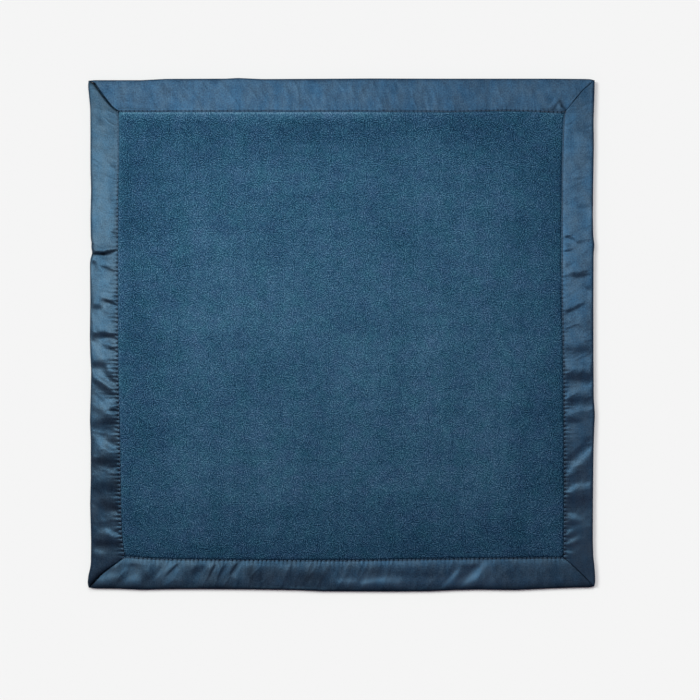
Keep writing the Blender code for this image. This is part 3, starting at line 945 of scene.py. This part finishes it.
def panel(name, face, material):
    """One panel of fleece, closed: its face with the pinched margin, its edge and its back."""
    curve = through(PANEL_PROFILE)

    def axis(half):
        def gap(place):
            u = half - np.abs(place)
            wide = 1.27 - 0.62 * bell(u - 23.5, 3.6) + 1.0 * (1 - step(14.0, 18.5, u))
            return np.minimum(wide, np.where(half < 179, 0.62 + 0.65 * step(5.5, 8.0, np.abs(place)), 9))

        return sampled(-half + PANEL_EDGE, half - PANEL_EDGE, gap)

    ax, ay = axis(178.0), axis(180.0)
    gx, gy = np.meshgrid(ax, ay, indexing="ij")
    u = {
        "left": gx + 178.0, "right": 178.0 - gx, "top": 180.0 - gy, "bottom": gy + 180.0,
    }  # fmt: skip
    # the stitched outline moves the face with it
    x, y = gx * MM, gy * MM
    for side in SIDES.values():
        s = (gy if side.upright else gx) * MM
        p = np.clip(side.pixel(s), 112, 563 if not side.upright else 557)
        nose = side.pic[0](side.seam(p)) + side.inward * NOSE_PAST_SEAM * MM
        nominal = -side.inward * ((178.0 if side.upright else 180.0) - BINDING) * MM
        away = u[side.name]
        hold = step(11.0, 20.0, away) * (1 - step(30.0, 75.0, away))
        if side.upright:
            x = x + (nose - nominal) * hold
        else:
            y = y + (nose - nominal) * hold
    stacked = np.stack(list(u.values()))
    soft = 1.1
    near = -soft * np.log(np.exp(-stacked / soft).sum(0))
    near = np.maximum(near, PANEL_EDGE)
    height = np.interp(near, curve[:, 0], curve[:, 1])

    order = np.sort(stacked, axis=0)
    to_end = (order[1] - order[0]) * 0.707
    which = np.argmin(stacked, axis=0)
    shift = np.zeros_like(gx)
    for i, side in enumerate(SIDES.values()):
        mine = (which == i) & (order[0] < 40)
        s = (gy if side.upright else gx)[mine] * MM
        depth = order[0][mine]
        hidden = 1 - step(20.6, 21.6, depth)
        under = satin_relief(
            side, face, x[mine], y[mine], np.minimum(depth, BINDING), s, to_end[mine]
        )
        # beyond the seam the pile is only dimpled by the stitches
        out = np.maximum(depth - SEAM, 0)
        beat = -np.cos(2 * np.pi * side.phase(s)) * np.exp(-out / 1.7) * 0.09
        shift[mine] = under * hidden + beat * (1 - hidden)

    g = pile if face > 0 else pile[6:] + pile[:6]
    field = step(22.0, 27.0, near)
    wave = (
        0.16 * g[0](gx, gy, 62.0, 48.0)
        + 0.08 * g[1](gx, gy, 23.0)
        + 0.045 * g[2](gx, gy, 9.0)
        + 0.035 * g[3](gx, gy, 4.0)
    )
    nap = 0.060 * g[4](gx, gy, 1.9) + 0.05 * g[5](gx, gy, 1.3)
    fuzz = np.random.default_rng(77 + face).normal(0, 0.022, gx.shape)
    rough = step(21.8, 23.5, near)
    if face < 0:
        # the grid is finer round the outside of the fold, which opens the pile there
        rough = rough * (0.4 + 0.6 * step(3.5, 7.0, np.abs(gx)))
    height = height + shift + field * wave + rough * (nap + fuzz)
    height = np.maximum(height, 0.24)
    if face < 0:
        height = np.minimum(height, 2.44)
    top = np.stack([x, y, (MID + face * height) * MM], -1)

    # the back: the rim again, lower, and one long face for each column of the grid
    nx, ny = gx.shape
    number = np.arange(nx * ny).reshape(nx, ny)
    rim = np.concatenate(
        [number[0, :], number[1:-1, -1], number[-1, ::-1], number[-2:0:-1, 0]]
    )
    low = top.reshape(-1, 3)[rim].copy()
    low[:, 2] = (MID + face * 0.15) * MM
    below = {int(v): nx * ny + i for i, v in enumerate(rim)}
    after = np.roll(rim, -1)
    walls = np.array([[a, b, below[int(b)], below[int(a)]] for a, b in zip(rim, after)], np.int32)
    faces = [
        np.stack(
            [number[:-1, :-1].ravel(), number[:-1, 1:].ravel(), number[1:, 1:].ravel(), number[1:, :-1].ravel()], 1
        ).astype(np.int32)
    ]
    lows = [below[int(number[i, 0])] for i in range(nx)]
    highs = [below[int(number[i, -1])] for i in range(nx)]
    bottoms = np.array([[lows[i], lows[i + 1], highs[i + 1], highs[i]] for i in range(1, nx - 2)], np.int32)
    first = [below[int(number[0, j])] for j in range(ny)][::-1] + [lows[1], highs[1]]
    last = [below[int(number[-1, j])] for j in range(ny)] + [highs[-2], lows[-2]]
    vertices = np.concatenate([top.reshape(-1, 3), low])
    rest = np.concatenate([np.stack([gx, gy, 0 * gx], -1).reshape(-1, 3), low / MM]) * MM
    if face < 0:
        # more of the pile is packed into the strip that stretches round the fold
        rest[:, 0] += 1.2 * np.clip(rest[:, 0], -4.5 * MM, 4.5 * MM)
    rest[:, 2] = 0.0 if face > 0 else 0.5
    # the pile at the seam: lit tips where it stands against the light, shade where it faces away
    fringe = np.zeros_like(gx)
    lit_above = 2.7 - 1.5 * step(0.0, 60.0, gx)
    for edge, lit in (("top", lit_above), ("left", 0.7), ("right", -0.7), ("bottom", -0.8)):
        fringe = fringe + lit * bell(u[edge] - 22.4, 0.9) * step(20.6, 22.8, near)
        fringe = fringe + 0.35 * np.maximum(lit, 0) * bell(u[edge] - 24.5, 2.6)
    fringe = np.concatenate([fringe.ravel(), np.zeros(len(low))])
    # and it is darker towards the seams, and along the top
    darker_margins = (1 - step(22.0, 78.0, near)) + 0.40 * (1 - step(95.0, 150.0, u["top"]))
    darker_margins = np.concatenate([darker_margins.ravel(), np.zeros(len(low))])
    extra = {"look": np.stack([fringe, darker_margins, 0 * fringe], -1)}
    groups = [faces[0], walls[:, ::-1], bottoms, np.array([first]), np.array([last])]
    # the face of the grid as wound above looks down, so the front panel is turned over
    if face > 0:
        groups = [g[:, ::-1] for g in groups]
    return new_object(name, vertices, groups, material, rest, extra)


# ---------------------------------------------------------------- thread


def tube(points, radius, sides, name, material, twist=None, shade=0.0):
    """A round thread along the points, closed at its ends; twist is the length of one turn."""
    p = np.asarray(points, float)
    tangent = np.gradient(p, axis=0)
    tangent /= np.linalg.norm(tangent, axis=1, keepdims=True)
    up = np.array([0.0, 0.0, 1.0])
    flat = np.cross(tangent, up)
    small = np.linalg.norm(flat, axis=1) < 0.05
    if small.any():
        flat[small] = flat[~small].mean(0) if (~small).any() else [1.0, 0.0, 0.0]
    flat /= np.linalg.norm(flat, axis=1, keepdims=True)
    over = np.cross(flat, tangent)
    run = np.concatenate([[0.0], np.cumsum(np.linalg.norm(np.diff(p, axis=0), axis=1))])
    angle = np.linspace(0, 2 * np.pi, sides, endpoint=False)
    around = angle[None, :] + 0 * run[:, None]
    wide = np.full_like(around, radius)
    if twist:
        wide = wide * (1 + 0.13 * np.cos(3 * around - 2 * np.pi * run[:, None] / twist))
    ring = (
        p[:, None]
        + (np.cos(around) * wide)[..., None] * flat[:, None]
        + (np.sin(around) * wide)[..., None] * over[:, None]
    )
    rows = len(p)
    number = np.arange(rows * sides).reshape(rows, sides)
    nxt = np.roll(number, -1, axis=1)
    quads = np.stack(
        [number[:-1].ravel(), nxt[:-1].ravel(), nxt[1:].ravel(), number[1:].ravel()], 1
    )
    if signed_volume(ring.reshape(-1, 3), quads) < 0:
        quads = quads[:, ::-1]
        ends = [number[0], number[-1][::-1]]
    else:
        ends = [number[0][::-1], number[-1]]
    rest = np.stack([run[:, None] + 0 * around, around * radius, 0 * around], -1)
    shade = np.broadcast_to(np.reshape(shade, (-1, 1)), around.shape)
    look = np.stack([shade, 0 * shade, 0 * shade], -1).reshape(-1, 3)
    return new_object(
        name, ring.reshape(-1, 3), [quads, ends[0][None], ends[1][None]], material,
        rest.reshape(-1, 3), {"look": look},
    )  # fmt: skip


def stitches(side, face, material):
    """The thread of one seam: it lies along the satin and dives into a hole at every stitch."""
    count = side.stitches
    per = 14
    k = np.linspace(0.12, count - 0.12, count * per + 1)
    base = np.linspace(side.stitch_ends[0], side.stitch_ends[1], 4001)
    s = np.interp(k, side.phase(base), base)
    f = np.full_like(s, SEAM / BINDING)
    x, y = side.place(f, s)
    u = np.full_like(s, SEAM)
    z = 1.78 * (1 if face > 0 else 2.46 / 2.58)
    lie = z + satin_relief(side, face, x, y, u, s, side.to_end(f, s))
    hole = np.abs(k - np.round(k)) * PITCH
    crown = 1 - np.exp(-((hole / 0.42) ** 2))
    above = (THREAD_R + 0.05) * crown - 0.55 * (1 - crown)
    height = MID + face * (lie + above)
    height = np.maximum(height, THREAD_R + 0.02)
    sway = 0.10 * grains[(side.name, face)][4](k, 0 * k, 1.0) * MM * crown
    if side.upright:
        points = np.stack([x + sway, y, height * MM], -1)
    else:
        points = np.stack([x, y + sway, height * MM], -1)
    kind = "needle_stitches" if face > 0 else "bobbin_stitches"
    # painted shade on the thread: as SUNK says on the front, a little all along the back
    shade = SUNK[side.name](side.pixel(s)) if face > 0 else 0.3
    return tube(
        points, THREAD_R * MM, 8, f"{kind}_{side.name}", material, twist=0.95 * MM, shade=shade
    )


# Where the thread lies deep in its groove and gets painted shade: (place in the picture, share)
SUNK = {
    name: smooth_line(points, 5.0)
    for name, points in {
        "left": [(112, 0.6), (125, 0.25), (560, 0.0)],
        "right": [(112, 0.8), (495, 0.7), (515, 0.15), (555, 0.15)],
        "top": [(119, 1.0), (180, 0.8), (564, 0.8)],
        "bottom": [(122, 0.3), (215, 0.2), (235, 0.0), (305, 0.0), (325, 0.35), (564, 0.6)],
    }.items()
}
MITRE_PATH = [(13.0, 1.00), (9.0, 1.02), (5.6, 0.98), (3.4, 0.86), (2.2, 0.56), (1.75, 0.0)]


def mitre_thread(corner, material):
    """The thread that closes a mitred corner, laced from side to side inside the fold."""
    line = through(CORNERS[corner])
    line = np.column_stack([pic_x(line[:, 0]), pic_y(line[:, 1])])
    share = np.abs(line[:, 0] - line[0, 0]) / np.abs(line[-1, 0] - line[0, 0])
    way = (line[-1] - line[0]) / np.linalg.norm(line[-1] - line[0])
    cross = np.array([-way[1], way[0]])
    path = through(MITRE_PATH + [(u, -z) for u, z in MITRE_PATH[-2::-1]], 600)
    length = np.concatenate([[0.0], np.cumsum(np.linalg.norm(np.diff(path, axis=0), axis=1))])
    places = np.linspace(0, length[-1], 260)
    u, z = (np.interp(places, length, path[:, i]) for i in (0, 1))
    lace = 0.32 * np.sin(places * 2 * np.pi / 2.4) * MM
    xy = np.column_stack([np.interp(u / SEAM, share, line[:, i]) for i in (0, 1)])
    xy = xy + lace[:, None] * cross
    points = np.column_stack([xy, (MID + z) * MM])
    # the lacing lies inside the fold, so it gets painted shade almost all over
    return tube(points, 0.13 * MM, 7, f"mitre_lacing_{corner}", material, twist=0.9 * MM, shade=0.9)


# ---------------------------------------------------------------- materials


class Nodes:
    """A short way to write a material's nodes."""

    def __init__(self, name):
        self.material = bpy.data.materials.new(name)
        self.material.use_nodes = True
        self.tree = self.material.node_tree
        self.shader = self.tree.nodes["Principled BSDF"]

    def add(self, kind, inputs=None, **settings):
        node = self.tree.nodes.new(kind)
        for key, value in settings.items():
            setattr(node, key, value)
        for key, value in (inputs or {}).items():
            if isinstance(value, bpy.types.NodeSocket):
                self.tree.links.new(value, node.inputs[key])
            else:
                node.inputs[key].default_value = value
        return node

    def link(self, socket, key):
        self.tree.links.new(socket, self.shader.inputs[key])

    def place(self, scale=(1, 1, 1), turn=0.0):
        """The place on the cloth, in metres times scale."""
        where = self.add("ShaderNodeAttribute", attribute_name="cloth").outputs["Vector"]
        mapping = self.add("ShaderNodeMapping", {"Vector": where, "Scale": scale})
        mapping.inputs["Rotation"].default_value = (0, 0, turn)
        return mapping.outputs["Vector"]

    def noise(self, scale, detail=2.0, rough=0.5, turn=0.0, distortion=0.0):
        """Noise from 0 to 1; scale is a number, or one for each axis, in cells per metre."""
        each = scale if isinstance(scale, tuple) else (scale, scale, scale)
        node = self.add(
            "ShaderNodeTexNoise",
            {
                "Vector": self.place(each, turn),
                "Scale": 1.0,
                "Detail": detail,
                "Roughness": rough,
                "Distortion": distortion,
            },
        )
        return node.outputs["Fac"]

    def wave(self, count, direction, distortion=0.0, detail_scale=1.0):
        """Stripes from 0 to 1, count of them per metre across X or Y."""
        node = self.add(
            "ShaderNodeTexWave",
            {
                "Vector": self.place((count, count, count)),
                "Scale": 2 * np.pi / 20.0,
                "Distortion": distortion,
                "Detail": 1.0,
                "Detail Scale": detail_scale,
            },
            wave_type="BANDS",
            bands_direction=direction,
            wave_profile="SIN",
        )
        return node.outputs["Fac"]

    def sum(self, middle, *parts):
        """middle plus each (socket, weight), the socket taken from its own middle of 0.5."""
        made = None
        for socket, weight in parts:
            part = self.add(
                "ShaderNodeMath", {0: socket, 1: weight, 2: -0.5 * weight}, operation="MULTIPLY_ADD"
            ).outputs[0]
            if made is None:
                made = self.add("ShaderNodeMath", {0: part, 1: middle}, operation="ADD").outputs[0]
            else:
                made = self.add("ShaderNodeMath", {0: made, 1: part}, operation="ADD").outputs[0]
        return made

    def mix(self, factor, low, high, blend="MIX"):
        node = self.add(
            "ShaderNodeMix", {"Factor": factor},
            data_type="RGBA", blend_type=blend, clamp_factor=True,
        )  # fmt: skip
        for key, value in ((6, low), (7, high)):
            if isinstance(value, bpy.types.NodeSocket):
                self.tree.links.new(value, node.inputs[key])
            else:
                node.inputs[key].default_value = (*value, 1.0)
        return node.outputs[2]

    def bump(self, height, distance, strength=1.0, under=None):
        inputs = {"Height": height, "Distance": distance, "Strength": strength}
        if under is not None:
            inputs["Normal"] = under
        return self.add("ShaderNodeBump", inputs).outputs["Normal"]

    def part(self, attribute, axis):
        """One component of an attribute."""
        where = self.add("ShaderNodeAttribute", attribute_name=attribute).outputs["Vector"]
        return self.add("ShaderNodeSeparateXYZ", {"Vector": where}).outputs[axis]

    def math(self, operation, *values):
        return self.add(
            "ShaderNodeMath", dict(enumerate(values)), operation=operation
        ).outputs[0]

    def bell(self, value, width):
        """exp(-(value / width) ** 2)"""
        scaled = self.math("DIVIDE", value, width)
        square = self.math("MULTIPLY", self.math("MULTIPLY", scaled, scaled), -1.0)
        return self.math("EXPONENT", square)

    def constant(self, **values):
        for key, value in values.items():
            self.shader.inputs[key.replace("_", " ")].default_value = value


def fleece_material():
    """Short, dense pile: tufts under a millimetre, brushed this way and that in soft patches."""
    n = Nodes("fleece_pile")
    tufts = n.noise(1300.0, 0.0)
    finer = n.noise(2500.0, 0.0)
    clumps = n.noise(430.0, 1.0, 0.5)
    brushed = n.noise(170.0, 1.0, 0.5)
    patch = n.noise(24.0, 3.0, 0.55, distortion=0.4)
    across = n.noise((9.0, 60.0, 9.0), 2.0, 0.5)
    down = n.noise((60.0, 9.0, 9.0), 2.0, 0.5)
    tone = n.sum(
        0.5, (tufts, 1.26), (finer, 0.74), (clumps, 0.22), (brushed, 0.22), (patch, 0.24),
        (across, 0.12), (down, 0.12),
    )
    # painted light and painted shade of the pile beside the seams
    fringe = n.part("look", 0)
    tone = n.math("MULTIPLY_ADD", fringe, 0.14, tone)
    # darker towards the seams and along the top
    tone = n.math("MULTIPLY_ADD", n.part("look", 1), -0.100, tone)
    # from the shaded roots of the pile to its lit tips, which are greyer
    ramp = n.add("ShaderNodeValToRGB", {"Fac": tone}).outputs["Color"]
    stops = ramp.node.color_ramp.elements
    base = np.array([0.0302, 0.1075, 0.1920])
    paler = np.array([1.60, 1.03, 0.82])
    for place, share in ((0.0, 0.10), (0.25, 0.42), (0.5, 0.96), (0.75, 1.80), (1.0, 2.9)):
        stop = stops[0] if place == 0 else (stops[-1] if place == 1 else stops.new(place))
        stop.color = (*(base * share**paler), 1.0)
    # and soft patches of it lean to green or to violet
    lean = n.sum(0.5, (n.noise(75.0, 2.0, 0.6), 2.4), (n.noise(420.0), 0.8))
    cast = n.mix(lean, (1.10, 0.955, 1.02), (0.90, 1.045, 0.98))
    n.link(n.mix(1.0, ramp, cast, "MULTIPLY"), "Base Color")
    relief = n.sum(0.5, (tufts, 1.0), (finer, 0.4), (clumps, 0.6))
    n.link(n.bump(relief, 0.0007, 0.5), "Normal")
    n.constant(
        Roughness=0.95,
        Sheen_Weight=0.08,
        Sheen_Roughness=0.45,
        Sheen_Tint=(0.45, 0.72, 1.0, 1.0),
        Specular_IOR_Level=0.12,
    )
    return n.material


def satin_material():
    """Warp-faced satin. Its threads run along each strip, so its shine spreads across the strip."""
    n = Nodes("satin_weave")
    warp = n.wave(3600.0, "X", 0.6, 0.3)
    slub = n.noise((1900.0, 60.0, 50.0), 2.0, 0.6)
    streak = n.noise((520.0, 16.0, 50.0), 2.0, 0.5)
    weave = n.noise((1150.0, 900.0, 50.0), 1.0, 0.5)
    cloud = n.noise((240.0, 150.0, 50.0), 2.0, 0.55)
    shade = n.noise((58.0, 26.0, 50.0), 2.0, 0.5)
    tone = n.sum(
        0.5, (slub, 0.40), (streak, 0.34), (shade, 0.95), (warp, 0.10), (weave, 1.90), (cloud, 1.10)
    )
    # the painted highlights and painted shade along each strip are added to the tone
    tone = n.math("ADD", tone, n.part("look", 2))
    # the yarns shift between a deep blue and a paler grey-green; on some strips all are duller
    hue = n.sum(0.5, (n.noise((115.0, 70.0, 50.0), 1.0, 0.5), 2.3), (n.noise((900.0, 900.0, 50.0)), 1.8))
    low = n.mix(hue, (0.0242, 0.0680, 0.1350), (0.0405, 0.0805, 0.1350))
    high = n.mix(hue, (0.0500, 0.1410, 0.2620), (0.0815, 0.1620, 0.2600))
    low_grey = n.mix(hue, (0.0325, 0.0745, 0.1250), (0.0470, 0.0840, 0.1230))
    high_grey = n.mix(hue, (0.0640, 0.1470, 0.2340), (0.0910, 0.1640, 0.2330))
    grey = n.part("look", 0)
    colour = n.mix(tone, n.mix(grey, low, low_grey), n.mix(grey, high, high_grey))
    # painted shade: every needle hole gets a dark point, and a short dark crease runs out from it, where the
    # pucker lies in shade
    count, from_seam, gather = (n.part("stitch", axis) for axis in range(3))
    hole = n.math("MULTIPLY", n.math("PINGPONG", count, 0.5), PITCH)
    point = n.math("MULTIPLY", n.bell(hole, 0.42), n.bell(from_seam, 0.50))
    point = n.math("MULTIPLY", point, n.math("MINIMUM", n.math("MULTIPLY", gather, 11.0), 1.0))
    reach = n.math("EXPONENT", n.math("MULTIPLY", n.math("ABSOLUTE", from_seam), -0.42))
    crease = n.math("MULTIPLY", n.math("MULTIPLY", n.bell(hole, 0.64), reach), gather)
    dark = n.math("ADD", n.math("MULTIPLY", point, 0.85), n.math("MULTIPLY", crease, 2.9))
    # and the painted shade of the mitre crevices, deep creases and outer folds
    dark = n.math("MAXIMUM", dark, n.part("look", 1))
    colour = n.mix(dark, colour, (0.006, 0.010, 0.016))
    n.link(colour, "Base Color")
    rough = n.sum(0.50, (streak, 0.08), (slub, 0.06))
    n.link(rough, "Roughness")
    relief = n.sum(0.5, (slub, 0.5), (streak, 0.5), (warp, 0.35), (weave, 0.8))
    n.link(n.bump(relief, 0.00006, 0.5), "Normal")
    tangent = n.add("ShaderNodeTangent", direction_type="UV_MAP", uv_map="weave")
    n.link(tangent.outputs["Tangent"], "Tangent")
    n.constant(
        Metallic=0.80,
        Specular_IOR_Level=0.30,
        Specular_Tint=(0.38, 0.70, 1.0, 1.0),
        Anisotropic=0.58,
    )
    return n.material


def thread_material():
    """Twisted polyester sewing thread."""
    n = Nodes("sewing_thread")
    fibre = n.noise((2200.0, 9000.0, 900.0), 2.0, 0.6)
    tone = n.sum(0.5, (fibre, 0.9))
    colour = n.mix(tone, (0.036, 0.085, 0.160), (0.100, 0.205, 0.345))
    # painted shade where the thread lies in its groove or inside a mitre
    n.link(n.mix(n.part("look", 0), colour, (0.006, 0.019, 0.038)), "Base Color")
    n.link(n.bump(fibre, 0.00003, 0.5), "Normal")
    n.constant(Roughness=0.5, Specular_IOR_Level=0.5, Sheen_Weight=0.15)
    return n.material


def floor_material():
    n = Nodes("plain_floor")
    n.constant(Base_Color=(0.90, 0.90, 0.90, 1.0), Roughness=0.95, Specular_IOR_Level=0.0)
    return n.material


# ---------------------------------------------------------------- the cloth itself

fleece, satin, thread = fleece_material(), satin_material(), thread_material()

front = panel("front_fleece", 1, fleece)
back = panel("back_fleece", -1, fleece)
strips = {name: binding(side, satin) for name, side in SIDES.items()}
needle = {name: stitches(side, 1, thread) for name, side in SIDES.items()}
bobbin = {name: stitches(side, -1, thread) for name, side in SIDES.items()}
lacing = {corner: mitre_thread(corner, thread) for corner in CORNERS}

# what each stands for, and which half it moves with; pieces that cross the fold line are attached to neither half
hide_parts("front_fleece_left", "front_fleece_right")
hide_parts("back_fleece_left", "back_fleece_right")
for piece in (front, back):
    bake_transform(piece)
for name in SIDES:
    for piece, node, slot in (
        (strips[name], "binding", "satin"),
        (needle[name], "needle_thread", "thread"),
        (bobbin[name], "bobbin_thread", "thread"),
    ):
        if name in ("left", "right"):
            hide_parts(f"{node}_{name}")
            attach(piece, f"{name}_half")
        else:
            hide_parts(f"{node}_{name}_left", f"{node}_{name}_right")
            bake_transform(piece)
for corner, piece in lacing.items():
    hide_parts(f"mitre_seam_{corner}")
    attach(piece, "left_half" if corner.endswith("left") else "right_half")

# ---------------------------------------------------------------- floor, light and camera

size = 12.0
corners = [(-size, -size, 0), (size, -size, 0), (size, size, 0), (-size, size, 0)]
floor = new_object("floor", np.array(corners, float), [np.array([[0, 1, 2, 3]])], floor_material())
floor.visible_diffuse = False
floor.visible_glossy = False

scene = bpy.context.scene
on_cloth = bpy.data.collections.new("lit_by_the_key")
on_floor = bpy.data.collections.new("lit_by_the_sun")
for piece in (front, back, *strips.values(), *needle.values(), *bobbin.values(), *lacing.values()):
    on_cloth.objects.link(piece)
on_floor.objects.link(floor)


# the softboxes are a little warmer than the light that fills the room
KEY = (0.985, 1.02, 0.985)
FILL = (1.04, 0.82, 1.06)


def area_light(name, place, target, size, power, receivers=None):
    data = bpy.data.lights.new(name, "AREA")
    data.shape = "RECTANGLE"
    data.size, data.size_y = size
    data.energy = power
    data.color = KEY
    obj = bpy.data.objects.new(name, data)
    obj.location = place
    obj.rotation_euler = (Vector(target) - Vector(place)).to_track_quat("-Z", "Y").to_euler()
    scene.collection.objects.link(obj)
    if receivers:
        obj.light_linking.receiver_collection = receivers
    return obj


# two softboxes side by side overhead, the left one stronger, one at the upper left and one behind
area_light("softbox_left", (-0.20, 0.10, 0.38), (-0.20, 0.10, 0), (0.4, 0.2), 0.90, on_cloth)
area_light("softbox_right", (0.20, 0.10, 0.38), (0.20, 0.10, 0), (0.4, 0.2), 0.44, on_cloth)
area_light("softbox_side", (-0.609, 0.609, 0.401), (0, 0, 0), (0.3, 0.3), 1.55, on_cloth)
area_light("softbox_rear", (-0.10, 0.50, 0.38), (-0.10, 0.50, 0), (1.0, 0.2), 1.28, on_cloth)
# two suns that light the floor alone, and give the cloth its soft shadow on two sides
AMBIENT = 0.145
FLOOR_LEVEL = 1.0144
for word, way, angle, share in (
    ("high", (0.0, -0.50, -1.0), 0.7, 0.57),
    ("low", (0.78, -0.42, -1.0), 0.36, 0.43),
):
    data = bpy.data.lights.new(f"floor_sun_{word}", "SUN")
    steep = 1.0 / Vector(way).length
    left = FLOOR_LEVEL - AMBIENT * np.array(FILL)
    data.energy = share * float(left.mean()) / (0.3183 * steep)
    data.color = [float(c) for c in left / left.mean()]
    data.angle = angle
    sun = bpy.data.objects.new(f"floor_sun_{word}", data)
    sun.rotation_euler = Vector(way).to_track_quat("-Z", "Y").to_euler()
    scene.collection.objects.link(sun)
    sun.light_linking.receiver_collection = on_floor

world = bpy.data.worlds.new("studio")
world.use_nodes = True
world.node_tree.nodes["Background"].inputs["Color"].default_value = (*FILL, 1.0)
world.node_tree.nodes["Background"].inputs["Strength"].default_value = AMBIENT
# in the picture itself the far end of the room is as pale as the floor
nodes, links = world.node_tree.nodes, world.node_tree.links
seen = nodes.new("ShaderNodeBackground")
seen.inputs["Color"].default_value = (0.913, 0.913, 0.913, 1.0)
path, either = nodes.new("ShaderNodeLightPath"), nodes.new("ShaderNodeMixShader")
links.new(path.outputs["Is Camera Ray"], either.inputs[0])
links.new(nodes["Background"].outputs[0], either.inputs[1])
links.new(seen.outputs[0], either.inputs[2])
links.new(either.outputs[0], nodes["World Output"].inputs["Surface"])
scene.world = world

scene.view_settings.view_transform = "Standard"
scene.view_settings.look = "None"

lens = 90.0
camera_data = bpy.data.cameras.new("camera")
camera_data.lens = lens
camera_data.sensor_width = 36.0
camera = bpy.data.objects.new("camera", camera_data)
distance = 700 * PIXEL * lens / 36.0
camera.location = (float(pic_x(350)), float(pic_y(350)), MID * MM + distance)
camera.rotation_euler = (0, 0, 0)
scene.collection.objects.link(camera)
scene.camera = camera
